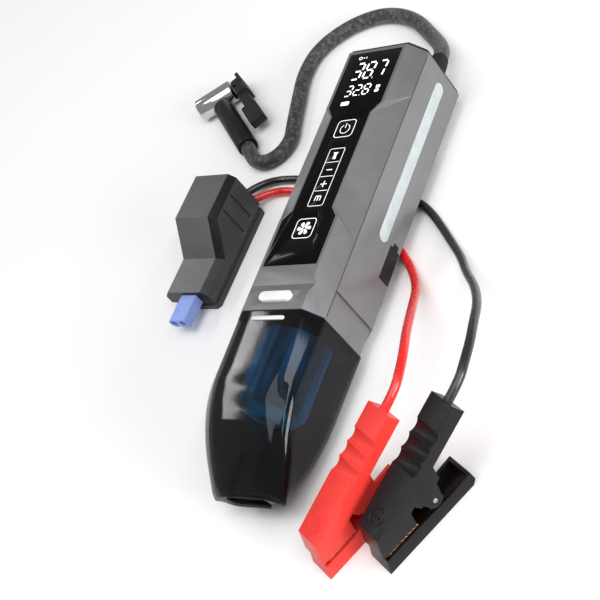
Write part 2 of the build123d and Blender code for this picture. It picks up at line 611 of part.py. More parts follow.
def make_arm_lower(colour):
    half = CLAMP_WIDE / 2
    arm = plate_y(LOWER_ARM, -half, half)
    arm -= box((2.5, -half + 2, 2), (63.5, half - 2, 10))
    ear = plate_y([(36, 5), (48, 5), (PIVOT_X + EAR_R, PIVOT_Z), (PIVOT_X - EAR_R, PIVOT_Z)], 5.6, 7.6)
    ear += Pos(0, 6.6, 0) * pin_rod(EAR_R, 2.0) + box((36, 7, 2), (48, half - 1.9, 7.5))
    arm = arm + ear + mirror(ear, about=Plane.XZ)
    arm -= pin_rod(1.57, 16)
    return clamp_place(colour) * arm


def jaw_teeth(root, tip, offset):
    """A row of pointed teeth along the jaw, between two heights."""
    points = []
    for index in range(7):
        x = JAW_FRONT + offset + TOOTH_PITCH * index
        points += [(x, root), (x + TOOTH_PITCH / 2, tip)]
    points += [(x + TOOTH_PITCH, root), (x + TOOTH_PITCH, 2 * root - tip), (JAW_FRONT, 2 * root - tip),
               (JAW_FRONT, root)]
    return plate_y(points, -7.6, 7.6)


def make_jaw_upper(colour):
    plate = box((5, -6.8, 12.6), (25.5, 6.8, 16.5)) + jaw_teeth(12.0, 10.7, 0)
    return clamp_place(colour) * plate


def make_jaw_lower(colour):
    plate = box((3, -6.8, 2.1), (25.5, 6.8, 8.6)) + jaw_teeth(9.2, 10.5, TOOTH_PITCH / 2)
    return clamp_place(colour) * plate


def make_clamp_pin(colour):
    return clamp_place(colour) * pin_rod(1.5, CLAMP_WIDE + 0.8)


def make_clamp_spring(colour):
    coil = pin_rod(3.6, 8) - pin_rod(1.8, 9)
    leg = plate_y([(43, 17), (45, 16.5), (61, 35), (59.6, 35.6)], 2.4, 4)
    return clamp_place(colour) * (coil + leg)


def cable_end(colour):
    """The last two points of a cable's route, the last one on the clamp's end face."""
    x, y, turn = CLAMPS[colour]
    slope = radians(CLAMP_SLOPE)
    face = Vector(x, y, 49.7) + heading(turn) * 84.3
    lead_in = face + heading(turn) * 12 * cos(slope) + Vector(0, 0, 12 * sin(slope))
    return [tuple(lead_in), tuple(face)]


# ---------------------------------------------------------------- every node
def all_nodes():
    nodes = {
        "top_shell": make_top_shell(), "bottom_shell": make_bottom_shell(),
        "rear_cap": make_rear_cap(), "case_screws": make_screws(),
        "light_lens": make_lamp(HALF - 2.6, HALF, 0.1), "light_board": make_lamp(29, 30.5, 1.5),
        "display_panel": plate_z(panel_outline(0), PANEL_FLOOR + 0.02, HEIGHT) - key_openings(60, 65),
        "display_module": make_display_module(), "keypad_mat": make_keypad_mat(),
        "main_board": make_main_board(), "battery_cells": make_cells(),
        "cell_holder": make_cell_holder(), "vacuum_motor": make_vacuum_motor(),
        "fan_housing": make_fan_housing(), "impeller": make_impeller(),
        "filter_frame": make_filter_frame(), "filter_element": make_filter_element(),
        "cup_seal": make_cup_seal(), "dust_cup": make_dust_cup(),
        "latch_button": make_latch_button(), "latch_spring": make_latch_spring(),
        "pump_motor": make_pump_motor(), "pump_crankcase": make_crankcase(),
        "pump_crank": make_pump_crank(), "pump_cylinder": make_pump_cylinder(),
        "pump_piston": make_pump_piston(), "port_frame": make_port_frame(),
        "ec5_socket": make_ec5_socket(), "port_flap": make_port_flap(), "usb_port": make_usb_port(),
        "hose_gland": make_hose_gland(), "air_hose": make_air_hose(),
        "hose_sleeve": make_hose_sleeve(), "chuck_body": make_chuck_body(),
        "chuck_seal": make_chuck_seal(), "chuck_lever": make_chuck_lever(),
        "module_top": make_module_top(), "module_base": make_module_base(),
        "lead_boot": make_lead_boot(), "ec5_plug": make_ec5_plug(),
        "red_cable": tube(RED_ROUTE + cable_end("red"), CABLE_R, "red_cable"),
        "black_cable": tube(BLACK_ROUTE + cable_end("black"), CABLE_R, "black_cable"),
    }
    for name, x, y, wide, deep in key_places():
        nodes[name] = make_key(x, y, wide, deep)
    for colour in CLAMPS:
        nodes[f"{colour}_arm_upper"] = make_arm_upper(colour)
        nodes[f"{colour}_arm_lower"] = make_arm_lower(colour)
        nodes[f"{colour}_jaw_upper"] = make_jaw_upper(colour)
        nodes[f"{colour}_jaw_lower"] = make_jaw_lower(colour)
        nodes[f"{colour}_clamp_pin"] = make_clamp_pin(colour)
        nodes[f"{colour}_clamp_spring"] = make_clamp_spring(colour)
    return nodes


os.makedirs("parts", exist_ok=True)
for node, shape in all_nodes().items():
    export_step(shape, f"parts/{node}.step")
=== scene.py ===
import json
from math import cos, dist, pi, sin, tau

import bmesh
import bpy
from mathutils import Matrix, Vector


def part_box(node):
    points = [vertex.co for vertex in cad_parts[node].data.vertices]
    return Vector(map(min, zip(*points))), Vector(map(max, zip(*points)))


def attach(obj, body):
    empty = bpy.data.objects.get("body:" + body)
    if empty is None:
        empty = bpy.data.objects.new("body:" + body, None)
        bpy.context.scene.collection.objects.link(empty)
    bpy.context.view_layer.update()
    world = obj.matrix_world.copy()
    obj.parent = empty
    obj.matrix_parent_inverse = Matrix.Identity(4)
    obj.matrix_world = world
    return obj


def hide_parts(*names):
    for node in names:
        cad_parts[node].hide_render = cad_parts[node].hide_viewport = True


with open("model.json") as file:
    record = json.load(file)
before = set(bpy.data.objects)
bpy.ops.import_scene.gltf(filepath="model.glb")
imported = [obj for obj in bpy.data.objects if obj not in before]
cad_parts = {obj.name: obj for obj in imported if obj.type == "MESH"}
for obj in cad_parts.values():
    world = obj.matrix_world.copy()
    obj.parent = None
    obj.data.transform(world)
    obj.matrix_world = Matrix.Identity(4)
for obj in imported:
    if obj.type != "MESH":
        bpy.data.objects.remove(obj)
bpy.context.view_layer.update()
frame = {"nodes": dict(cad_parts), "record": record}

NODES = frame["nodes"]
DEGREE = pi / 180

# Main unit in metres, from the CAD nodes' own boxes: half its width, the height of the front face,
# where the shell meets the cup, the tail and the cup's tip
SHELL_LOW, SHELL_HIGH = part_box("top_shell")
HALF = SHELL_HIGH.x
FACE_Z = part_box("display_panel")[1].z
SEAM_Y = SHELL_LOW.y
TAIL_Y = SHELL_HIGH.y
TIP_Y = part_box("dust_cup")[0].y

# The cords: their radii, and their routes by the same points as the CAD tubes, in metres
HOSE_RADIUS, CABLE_RADIUS = 0.0055, 0.0028
HOSE_ROUTE = [
    (0.016, 0.170, 0.022), (0.0155, 0.184, 0.0196), (0.006, 0.202, 0.0128), (-0.012, 0.221, 0.0066),
    (-0.036, 0.244, 0.0056), (-0.066, 0.2545, 0.0056), (-0.096, 0.247, 0.0056),
    (-0.117, 0.228, 0.0056), (-0.121, 0.204, 0.0056), (-0.115, 0.177, 0.0056),
    (-0.109, 0.151, 0.0056), (-0.1055, 0.139, 0.0056), (-0.109, 0.127, 0.0057),
    (-0.119, 0.1195, 0.0059), (-0.1305, 0.121, 0.0063), (-0.139, 0.1298, 0.0071),
    (-0.14692, 0.13885, 0.0078),
]
RED_ROUTE = [
    (-0.116, 0.0825, 0.0085), (-0.1075, 0.0895, 0.006), (-0.0975, 0.0935, 0.0036),
    (-0.0855, 0.0925, 0.0031), (-0.062, 0.086, 0.0031), (-0.038, 0.0755, 0.0031),
    (-0.014, 0.0625, 0.0031), (0.008, 0.0485, 0.0031), (0.024, 0.0365, 0.0031),
    (0.0366, 0.024, 0.0034), (0.047, 0.011, 0.0058), (0.057, -0.003, 0.012),
    (0.067, -0.020, 0.0225), (0.078, -0.038, 0.0345), (0.0887, -0.0579, 0.0455),
    (0.0972, -0.074, 0.0526), (0.1012, -0.088, 0.055),
]
BLACK_ROUTE = [
    (-0.1305, 0.0825, 0.009), (-0.125, 0.093, 0.0065), (-0.116, 0.101, 0.0042),
    (-0.104, 0.1045, 0.0031), (-0.083, 0.103, 0.0031), (-0.054, 0.098, 0.0031),
    (-0.025, 0.091, 0.0031), (0.003, 0.0825, 0.0031), (0.028, 0.0725, 0.0031),
    (0.041, 0.0625, 0.0031), (0.053, 0.050, 0.0031), (0.0645, 0.0375, 0.0039),
    (0.078, 0.023, 0.0075), (0.091, 0.006, 0.0145), (0.1085, -0.012, 0.025),
    (0.1225, -0.032, 0.036), (0.1315, -0.0516, 0.046), (0.1385, -0.0686, 0.0528),
    (0.1408, -0.0825, 0.055),
]
# Where each clamp lies on the table, its way in degrees, and how steeply its arm and cable rise
CLAMPS = {"red": (0.053, -0.183, 59.5), "black": (0.0912, -0.1762, 58.9)}
CLAMP_SLOPE = 20.0 * DEGREE


# ---------------------------------------------------------------- materials
class Material:
    """A node material that grows by small steps; its patterns are sized in metres."""

    def __init__(self, name):
        self.made = bpy.data.materials.new(name)
        self.made.use_nodes = True
        self.tree = self.made.node_tree
        self.shader = self.tree.nodes["Principled BSDF"]
        self.where = self.node("ShaderNodeTexCoord").outputs["Object"]
        self.bump = None

    def node(self, kind, **settings):
        made = self.tree.nodes.new(kind)
        for key, value in settings.items():
            setattr(made, key, value)
        return made

    def link(self, a, b):
        self.tree.links.new(a, b)

    def set(self, **values):
        for key, value in values.items():
            self.shader.inputs[key.replace("_", " ")].default_value = value
        return self

    def noise(self, scale, detail, stretch=(1, 1, 1), rough=0.5):
        mapping = self.node("ShaderNodeMapping")
        mapping.inputs["Scale"].default_value = stretch
        self.link(self.where, mapping.inputs["Vector"])
        made = self.node("ShaderNodeTexNoise")
        made.inputs["Scale"].default_value = scale
        made.inputs["Detail"].default_value = detail
        made.inputs["Roughness"].default_value = rough
        self.link(mapping.outputs["Vector"], made.inputs["Vector"])
        return made.outputs["Fac"]

    def ramp(self, value, low, high, first, last):
        made = self.node("ShaderNodeMapRange")
        limits = {"From Min": low, "From Max": high, "To Min": first, "To Max": last}
        for key, number in limits.items():
            made.inputs[key].default_value = number
        self.link(value, made.inputs["Value"])
        return made.outputs["Result"]

    def mix(self, share, first, last):
        """Two colours, or sockets, mixed by a socket."""
        made = self.node("ShaderNodeMix", data_type="RGBA")
        self.link(share, made.inputs["Factor"])
        for name, value in (("A", first), ("B", last)):
            socket = [s for s in made.inputs if s.name == name and s.type == "RGBA"][0]
            if isinstance(value, tuple):
                socket.default_value = (*value, 1)
            else:
                self.link(value, socket)
        return [s for s in made.outputs if s.type == "RGBA"][0]

    def colour(self, first, last, scale):
        """A base colour that drifts between two close shades."""
        share = self.ramp(self.noise(scale, 5.0), 0.3, 0.7, 0.0, 1.0)
        self.link(self.mix(share, first, last), self.shader.inputs["Base Color"])
        return self

    def roughness(self, low, high, scale=180.0):
        share = self.ramp(self.noise(scale, 6.0, rough=0.65), 0.35, 0.7, low, high)
        self.link(share, self.shader.inputs["Roughness"])
        return self

    def grain(self, scale, strength, distance=0.00003):
        """Fine bumps, on top of any that are there already."""
        height = self.noise(scale, 3.0)
        made = self.node("ShaderNodeBump")
        made.inputs["Strength"].default_value = strength
        made.inputs["Distance"].default_value = distance
        self.link(height, made.inputs["Height"])
        if self.bump:
            self.link(self.bump, made.inputs["Normal"])
        self.bump = made.outputs["Normal"]
        self.link(self.bump, self.shader.inputs["Normal"])
        return self


def shade(colour, share):
    return tuple(channel * share for channel in colour)


def plastic(name, colour, low, high, grain=2600.0, strength=0.16):
    made = Material(name).colour(colour, shade(colour, 0.88), 70.0).roughness(low, high)
    return made.grain(grain, strength).set(Specular_IOR_Level=0.25).made


def metal(name, colour, low, high, grain=1800.0, strength=0.12):
    made = Material(name).colour(colour, shade(colour, 0.9), 120.0).roughness(low, high, 260.0)
    return made.grain(grain, strength).set(Metallic=1.0).made


def make_shell_paint():
    """Satin metallic paint: fine flake, faint orange peel and rubbed patches."""
    made = Material("shell_paint")
    flake = made.ramp(made.noise(5200.0, 2.0), 0.35, 0.75, 0.0, 1.0)
    drift = made.ramp(made.noise(24.0, 4.0), 0.3, 0.7, 0.0, 1.0)
    base = made.mix(drift, (0.165, 0.165, 0.168), (0.195, 0.195, 0.199))
    made.link(made.mix(flake, base, (0.25, 0.25, 0.255)), made.shader.inputs["Base Color"])
    made.roughness(0.36, 0.48, 90.0).grain(900.0, 0.10, 0.00004).grain(5200.0, 0.06, 0.00001)
    return made.set(Metallic=0.6, Coat_Weight=0.1, Coat_Roughness=0.25).made


def make_smoked():
    """Smoked polycarbonate with faint moulding flow and fine scuffs."""
    made = Material("smoked_plastic").colour((0.002, 0.002, 0.003), (0.004, 0.004, 0.005), 30.0)
    made.roughness(0.035, 0.06, 60.0).grain(14.0, 0.02, 0.0003)
    return made.set(Alpha=0.70, IOR=1.5, Specular_IOR_Level=0.3).made


def make_panel_gloss():
    made = Material("panel_gloss").colour((0.0015, 0.0015, 0.0018), (0.003, 0.003, 0.0035), 40.0)
    made.roughness(0.09, 0.14, 90.0).grain(40.0, 0.02, 0.00005)
    return made.set(Specular_IOR_Level=0.09).made


def make_cable(name, colour):
    made = Material(name).colour(colour, shade(colour, 0.85), 90.0).roughness(0.2, 0.34, 300.0)
    return made.grain(500.0, 0.12, 0.00008).set(Coat_Weight=0.25, Coat_Roughness=0.18).made


def make_lamp_material():
    made = Material("frosted_lens").colour((0.42, 0.425, 0.43), (0.50, 0.505, 0.51), 160.0)
    made.roughness(0.35, 0.5, 400.0).grain(2200.0, 0.3, 0.00004)
    return made.set(Subsurface_Weight=0.15, Coat_Weight=0.2, Coat_Roughness=0.3).made


def make_print(name, colour, glow):
    made = Material(name).colour(colour, shade(colour, 0.92), 900.0).roughness(0.3, 0.45, 900.0)
    return made.grain(3000.0, 0.1).set(Emission_Color=(*colour, 1), Emission_Strength=glow).made


def make_braid_material():
    """The strands' own tones, darkened by painted shade towards their edges, come with the mesh; the nodes
    add fibre and dust.
    """
    made = Material("hose_braid")
    strand = made.node("ShaderNodeVertexColor", layer_name="strand").outputs["Color"]
    fibre = made.ramp(made.noise(2400.0, 4.0), 0.3, 0.7, 0.0, 1.0)
    made.link(made.mix(fibre, strand, (0.02, 0.02, 0.021)), made.shader.inputs["Base Color"])
    made.roughness(0.5, 0.75, 700.0).grain(4200.0, 0.35, 0.00006)
    return made.set(Sheen_Weight=0.15, Sheen_Roughness=0.5).made


def make_filter_material():
    """Pleated blue filter; a made-up glow lets it show through the smoked cup."""
    made = Material("filter_blue").colour((0.03, 0.40, 0.78), (0.02, 0.28, 0.62), 120.0)
    made.roughness(0.5, 0.7)
    patches = made.ramp(made.noise(45.0, 2.0, (1, 0.35, 1)), 0.42, 0.66, 0.0, 1.0)
    glow = made.mix(patches, (0.0, 0.03, 0.06), (0.01, 0.38, 0.85))
    made.link(glow, made.shader.inputs["Emission Color"])
    return made.grain(1500.0, 0.4).set(Emission_Strength=1.1).made


LOOKS = {
    "shell": make_shell_paint(),
    "cap": plastic("cap_plastic", (0.018, 0.018, 0.019), 0.42, 0.58),
    "steel": metal("steel", (0.42, 0.42, 0.43), 0.25, 0.4),
    "lens": make_lamp_material(),
    "board": plastic("board_green", (0.02, 0.13, 0.06), 0.4, 0.6),
    "panel": make_panel_gloss(),
    "inner": plastic("inner_plastic", (0.03, 0.03, 0.032), 0.45, 0.6),
    "filter": make_filter_material(),
    "rubber": plastic("rubber_black", (0.008, 0.008, 0.009), 0.5, 0.68, 1800.0, 0.3),
    "sleeve": plastic("sleeve_rubber", (0.006, 0.006, 0.0065), 0.38, 0.52, 1500.0, 0.2),
    "smoked": make_smoked(),
    "silver": plastic("silver_plastic", (0.80, 0.80, 0.81), 0.3, 0.42, 3200.0, 0.2),
    "alloy": metal("cast_alloy", (0.55, 0.55, 0.56), 0.4, 0.6, grain=900.0, strength=0.4),
    "socket": plastic("socket_black", (0.015, 0.015, 0.016), 0.35, 0.5),
    "chrome": metal("chrome", (0.62, 0.62, 0.63), 0.05, 0.12, grain=300.0, strength=0.04),
    "lever": plastic("lever_plastic", (0.014, 0.014, 0.015), 0.45, 0.6, 2200.0, 0.25),
    "module": plastic("module_plastic", (0.105, 0.108, 0.110), 0.36, 0.5, 3000.0, 0.2),
    "module_pale": plastic("module_pale", (0.16, 0.163, 0.165), 0.36, 0.5, 3000.0, 0.2),
    "module_side": plastic("module_side", (0.055, 0.055, 0.057), 0.4, 0.55, 3000.0, 0.2),
    "module_black": plastic("module_black", (0.010, 0.010, 0.011), 0.3, 0.42, 3000.0, 0.15),
    "connector": plastic("connector_nylon", (0.30, 0.42, 0.86), 0.32, 0.46, 2200.0, 0.15),
    "cable_red": make_cable("cable_red", (0.70, 0.012, 0.01)),
    "cable_black": make_cable("cable_black", (0.012, 0.012, 0.013)),
    "clamp_red": plastic("clamp_red", (0.84, 0.045, 0.035), 0.3, 0.44, 2600.0, 0.12),
    "clamp_black": plastic("clamp_black", (0.005, 0.005, 0.0055), 0.3, 0.44, 2600.0, 0.12),
    "copper": metal("copper", (0.90, 0.46, 0.24), 0.28, 0.5, grain=1200.0, strength=0.3),
    "cell": plastic("cell_wrap", (0.03, 0.16, 0.36), 0.3, 0.45),
    "print": make_print("white_print", (0.85, 0.86, 0.88), 0.5),
    "digit": make_print("lit_digit", (0.92, 0.95, 1.0), 1.3),
    "braid": make_braid_material(),
}

# CAD nodes that are shown as they are
NODE_LOOKS = {
    "cap": ["rear_cap"],
    "steel": ["case_screws", "latch_spring", "pump_crank", "usb_port"],
    "board": ["light_board", "main_board"],
    "panel": ["display_module"],
    "inner": ["cell_holder", "fan_housing", "impeller", "pump_crankcase", "keypad_mat"],
    "filter": ["filter_element"],
    "socket": ["filter_frame", "port_frame", "ec5_socket"],
    "rubber": ["cup_seal", "chuck_seal"],
    "alloy": ["vacuum_motor", "pump_motor", "pump_cylinder", "pump_piston"],
    "cell": ["battery_cells"],
}

# CAD nodes that are shown with rounded edges: look, width of the rounding, and its steps
SOFT_NODES = {
    "top_shell": ("shell", 0.0006, 3), "bottom_shell": ("shell", 0.0006, 3),
    "display_panel": ("panel", 0.00012, 2), "key_power": ("panel", 0.00012, 2),
    "key_light": ("panel", 0.00012, 2), "key_minus": ("panel", 0.00012, 2),
    "key_plus": ("panel", 0.00012, 2), "key_mode": ("panel", 0.00012, 2),
    "key_fan": ("panel", 0.00012, 2),
    "light_lens": ("lens", 0.0003, 3), "latch_button": ("silver", 0.0005, 3),
    "port_flap": ("rubber", 0.0005, 3), "hose_sleeve": ("sleeve", 0.0007, 3),
    "chuck_body": ("chrome", 0.0003, 3), "chuck_lever": ("lever", 0.0006, 3),
    "module_top": ("module", 0.0007, 3), "module_base": ("module_side", 0.0005, 3),
    "lead_boot": ("rubber", 0.0005, 3), "ec5_plug": ("connector", 0.0003, 3),
}
# The same for the parts of each clamp; a look of None is the clamp's own colour
SOFT_CLAMP = {
    "arm_upper": (None, 0.0007, 3), "arm_lower": (None, 0.0006, 3),
    "jaw_upper": ("copper", 0.0002, 2), "jaw_lower": ("copper", 0.0002, 2),
    "clamp_pin": ("steel", 0.0003, 2), "clamp_spring": ("steel", 0.0002, 2),
}
SOFT_ANGLE = 25.0 * DEGREE


# ---------------------------------------------------------------- pieces
def body_of_node(name):
    for body, members in frame["record"]["behaviour"]["bodies"].items():
        if name in members:
            return body


def finish_piece(obj, look, body):
    obj.data.materials.clear()
    obj.data.materials.append(LOOKS[look])
    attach(obj, body)
    return obj


def add_object(name, data):
    obj = bpy.data.objects.new(name, data)
    bpy.context.scene.collection.objects.link(obj)
    return obj


def add_mesh(name, verts, faces, smooth=True):
    mesh = bpy.data.meshes.new(name)
    mesh.from_pydata([tuple(v) for v in verts], [], faces)
    mesh.update()
    if smooth:
        mesh.shade_smooth()
    return add_object(name, mesh)


def ring_faces(rings, count, closed=False):
    """Quads between neighbouring rings of count points each, and from the last to the first."""
    faces = []
    for r in range(rings if closed else rings - 1):
        after = (r + 1) % rings
        for k in range(count):
            n = (k + 1) % count
            faces.append((r * count + k, r * count + n, after * count + n, after * count + k))
    return faces


def end_faces(rings, count):
    """The two faces that close the first and the last ring."""
    return [tuple(range(count - 1, -1, -1)), tuple(range((rings - 1) * count, rings * count))]


def soften(node, look, width, segments):
    """A copy of a CAD node with rounded edges, which then stands for it."""
    work = bmesh.new()
    work.from_mesh(NODES[node].data)
    bmesh.ops.remove_doubles(work, verts=work.verts, dist=0.00001)
    bmesh.ops.dissolve_limit(work, angle_limit=0.02, verts=work.verts, edges=work.edges)
    mesh = bpy.data.meshes.new(node + "_soft")
    work.to_mesh(mesh)
    work.free()
    mesh.shade_smooth()
    obj = add_object(node + "_soft", mesh)
    bevel = obj.modifiers.new("edges", "BEVEL")
    bevel.width = width
    bevel.segments = segments
    bevel.limit_method = "ANGLE"
    bevel.angle_limit = SOFT_ANGLE
    bevel.harden_normals = True
    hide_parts(node)
    return finish_piece(obj, look, body_of_node(node))


MODULE_TURN = -2.0 * DEGREE
NECK_TOP = 0.0205


def module_look(centre, normal):
    """The look of a face of the smart module: pale neck, black front, dark sides, else None."""
    across = normal.x * cos(MODULE_TURN) + normal.y * sin(MODULE_TURN)
    ahead = normal.x * sin(MODULE_TURN) - normal.y * cos(MODULE_TURN)
    if ahead > 0.9:
        return "module_black"
    if abs(across) > 0.95:
        return "module_side"
    if abs(across) > 0.4:
        return "module_side" if centre.z < NECK_TOP else "module_black"
    if normal.z > 0.95 and centre.z < NECK_TOP:
        return "module_pale"
    return None


def paint_module(module, look):
    """Gives each face its own look, where it has one."""
    names = [look]
    for face in module.data.polygons:
        other = module_look(face.center, face.normal)
        if other and other not in names:
            names.append(other)
            module.data.materials.append(LOOKS[other])
        face.material_index = names.index(other) if other else 0


def paint_nodes():
    for look, names in NODE_LOOKS.items():
        for name in names:
            for slot in NODES[name].material_slots:
                slot.material = LOOKS[look]


def soften_nodes():
    for node, (look, width, segments) in SOFT_NODES.items():
        piece = soften(node, look, width, segments)
        if node == "module_top":
            paint_module(piece, look)
    for colour in CLAMPS:
        for part, (look, width, segments) in SOFT_CLAMP.items():
            soften(f"{colour}_{part}", look or f"clamp_{colour}", width, segments)


# ---------------------------------------------------------------- dust cup
CORNER_POINTS, EDGE_POINTS = 6, 3
CORNER_REACH = 0.46  # how much of an edge a corner's rounding may take


def rounded_ring(corners, radius, y):
    """A closed ring of points round a polygon of (x, z) corners, each corner rounded."""
    ring = []
    count = len(corners)
    for index, corner in enumerate(corners):
        here, following = Vector(corner), Vector(corners[(index + 1) % count])
        before, after = Vector(corners[index - 1]) - here, following - here
        reach = after.normalized() * min(radius, after.length * CORNER_REACH)
        start = here + before.normalized() * min(radius, before.length * CORNER_REACH)
        end, next_start = here + reach, following - reach
        for step in range(CORNER_POINTS):
            t = step / (CORNER_POINTS - 1)
            ring.append(start * (1 - t) ** 2 + here * 2 * t * (1 - t) + end * t**2)
        for step in range(1, EDGE_POINTS + 1):
            ring.append(end.lerp(next_start, step / (EDGE_POINTS + 1)))
    return [Vector((p.x, y, p.y)) for p in ring]


def octagon(inset):
    """The main unit's cross-section in metres, moved inwards by the inset."""
    face = 0.023 - 0.406 * inset
    side = HALF - inset
    edge = 0.0107 + 0.4226 * inset
    low, high = inset, FACE_Z - inset
    return [(-face, low), (face, low), (side, edge), (side, FACE_Z - edge),
            (face, high), (-face, high), (-side, FACE_Z - edge), (-side, edge)]


def cup_corners(s, inset):
    """The cup's cross-section a share s of the way from its shoulder to its tip."""
    top = 0.0635 - 0.0357 * s**1.8 - inset
    bottom = 0.0005 + 0.0127 * s**2.8 + inset
    high_side = HALF - 0.0002 - 0.0050 * s**2.4 - inset
    low_side = HALF - 0.0006 - 0.0090 * s**1.33 - inset
    face = 0.0225 - 0.004 * s - 0.4 * inset
    foot = 0.0225 - 0.0075 * s - 0.4 * inset
    high = 0.0107 * (1 - 0.35 * s)
    return [(-foot, bottom), (foot, bottom), (low_side, bottom + high), (high_side, top - high),
            (face, top), (-face, top), (-high_side, top - high), (-low_side, bottom + high)]


def mouth_corners(inset):
    """The nozzle's opening, a rectangle with its corners cut, moved inwards by the inset."""
    wide, low, high, cut = 0.0158 - inset, 0.0164 + inset, 0.0254 - inset, 0.002
    return [(-wide + cut, low), (wide - cut, low), (wide, low + cut), (wide, high - cut),
            (wide - cut, high), (-wide + cut, high), (-wide, high - cut), (-wide, low + cut)]


# The cup, in metres: its shoulder, its gap to the shell, how far its rim reaches in, its wall,
# and the length and wall of the nozzle's tube inside it
SHOULDER_Y, CUP_GAP, RIM, WALL = -0.095, 0.0003, 0.0053, 0.002
NOZZLE_LONG, NOZZLE_WALL = 0.030, 0.0018
NECK_STEPS, SKIN_STEPS = 7, 22


def cup_y(s):
    """The place a share s of the way from the cup's shoulder to its tip."""
    return SHOULDER_Y + (TIP_Y - SHOULDER_Y) * s


def cup_rings():
    """The cup's rings: the rim, the outside to the tip, the nozzle, and the inside back to the rim."""
    seam = SEAM_Y - CUP_GAP
    rings = [rounded_ring(octagon(RIM), 0.001, seam), rounded_ring(octagon(0.0006), 0.0012, seam),
             rounded_ring(octagon(0.0003), 0.0012, seam - 0.0004)]
    for step in range(1, NECK_STEPS):
        share = step / NECK_STEPS
        pairs = zip(octagon(0.0003), cup_corners(0, 0))
        mixed = [tuple(Vector(a).lerp(Vector(b), share)) for a, b in pairs]
        y = seam + (SHOULDER_Y - seam) * share
        rings.append(rounded_ring(mixed, 0.0012 + 0.003 * share, y))
    for step in range(SKIN_STEPS):
        s = step / SKIN_STEPS
        rings.append(rounded_ring(cup_corners(s, 0), 0.0042 + 0.003 * s, cup_y(s)))
    for back, inset in ((0.0011, 0.0001), (0.0004, 0.0006), (0.0, 0.0016)):
        rings.append(rounded_ring(cup_corners(1, inset), 0.0072, TIP_Y + back))
    for back, inset in ((0.0, -0.0008), (0.0006, 0), (NOZZLE_LONG, 0), (NOZZLE_LONG, -NOZZLE_WALL),
                        (0.0026, -NOZZLE_WALL)):
        rings.append(rounded_ring(mouth_corners(inset), 0.002, TIP_Y + back))
    for step in range(SKIN_STEPS - 1, -1, -1):
        s = 0.96 * step / (SKIN_STEPS - 1)
        rings.append(rounded_ring(cup_corners(s, WALL), 0.004, cup_y(s)))
    for inset in (0.0023, RIM):
        rings.append(rounded_ring(octagon(inset), 0.001, SEAM_Y - 0.003))
    return rings


def make_cup():
    rings = cup_rings()
    verts = [point for ring in rings for point in ring]
    cup = add_mesh("dust_cup_shell", verts, ring_faces(len(rings), len(rings[0]), closed=True))
    work = bmesh.new()
    work.from_mesh(cup.data)
    bmesh.ops.recalc_face_normals(work, faces=work.faces)
    work.to_mesh(cup.data)
    work.free()
    cup.data.set_sharp_from_angle(angle=0.6)
    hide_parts("dust_cup")
    finish_piece(cup, "smoked", "dust_cup")
    rib = stadium("cup_rib", 0, SEAM_Y - 0.006, 0.025, 0.0026, FACE_Z - 0.0006, FACE_Z + 0.0005)
    finish_piece(rib, "silver", "dust_cup")


END_STEPS = 12


def stadium(name, x, y, wide, deep, low, high):
    """A slab with round ends and a softened top edge."""
    radius = deep / 2
    outline = []
    for side, first in ((1, -pi / 2), (-1, pi / 2)):
        for step in range(END_STEPS + 1):
            angle = first + pi * step / END_STEPS
            middle = x + side * (wide / 2 - radius)
            outline.append((middle + radius * cos(angle), y + radius * sin(angle)))
    soft = min(0.0003, deep * 0.15)
    levels = ((low, 0), (high - soft, 0), (high - soft * 0.3, soft * 0.3), (high, soft))
    verts = []
    for z, inset in levels:
        for px, py in outline:
            towards = Vector((x - px, y - py)).normalized() * inset
            verts.append((px + towards.x, py + towards.y, z))
    size = len(levels), len(outline)
    made = add_mesh(name, verts, end_faces(*size) + ring_faces(*size))
    made.data.set_sharp_from_angle(angle=0.9)
    return made


# ---------------------------------------------------------------- printed marks
PRINT_HIGH = 0.00006
SAME_PLACE = 1e-9


def poly_curve(name, lines, radius):
    """Round strokes in a plane; each line is a list of (x, y), closed if it ends where it starts."""
    curve = bpy.data.curves.new(name, "CURVE")
    curve.dimensions = "3D"
    curve.bevel_depth = radius
    curve.use_fill_caps = True
    for line in lines:
        closed = dist(line[0], line[-1]) < SAME_PLACE
        points = line[:-1] if closed else line
        spline = curve.splines.new("POLY")
        spline.points.add(len(points) - 1)
        for point, (x, y) in zip(spline.points, points):
            point.co = (x, y, 0, 1)
        spline.use_cyclic_u = closed
    return add_object(name, curve)


def stroke_curve(name, lines, width, look, body):
    """Printed lines on the front face, pressed flat to the height of the print."""
    obj = poly_curve(name, lines, width / 2)
    obj.data.bevel_resolution = 2
    obj.scale = (1, 1, 2 * PRINT_HIGH / width)
    obj.location = (0, 0, FACE_Z)
    bpy.context.view_layer.update()
    finish_piece(obj, look, body)


def filled_marks(name, shapes, look, body):
    """Printed areas on the front face, each a closed list of (x, y)."""
    verts, faces = [], []
    for shape in shapes:
        start, count = len(verts), len(shape)
        verts += [(x, y, FACE_Z + z) for z in (-PRINT_HIGH, PRINT_HIGH) for x, y in shape]
        faces.append(tuple(range(start + count, start + 2 * count)))
        faces.append(tuple(range(start + count - 1, start - 1, -1)))
        for k in range(count):
            n = (k + 1) % count
            faces.append((start + k, start + n, start + count + n, start + count + k))
    finish_piece(add_mesh(name, verts, faces, smooth=False), look, body)


def arc(x, y, radius, first, last, steps=24):
    angles = [first + (last - first) * k / steps for k in range(steps + 1)]
    return [(x + radius * cos(angle), y + radius * sin(angle)) for angle in angles]


def rounded_outline(x, y, wide, deep, radius):
    points = []
    for sx, sy, first in ((1, 1, 0), (-1, 1, pi / 2), (-1, -1, pi), (1, -1, 3 * pi / 2)):
        corner = x + sx * (wide / 2 - radius), y + sy * (deep / 2 - radius)
        points += arc(*corner, radius, first, first + pi / 2, 6)
    return points + points[:1]


SEGMENTS = {"3": "abcdg", "8": "abcdefg", "7": "abc", "2": "abged"}


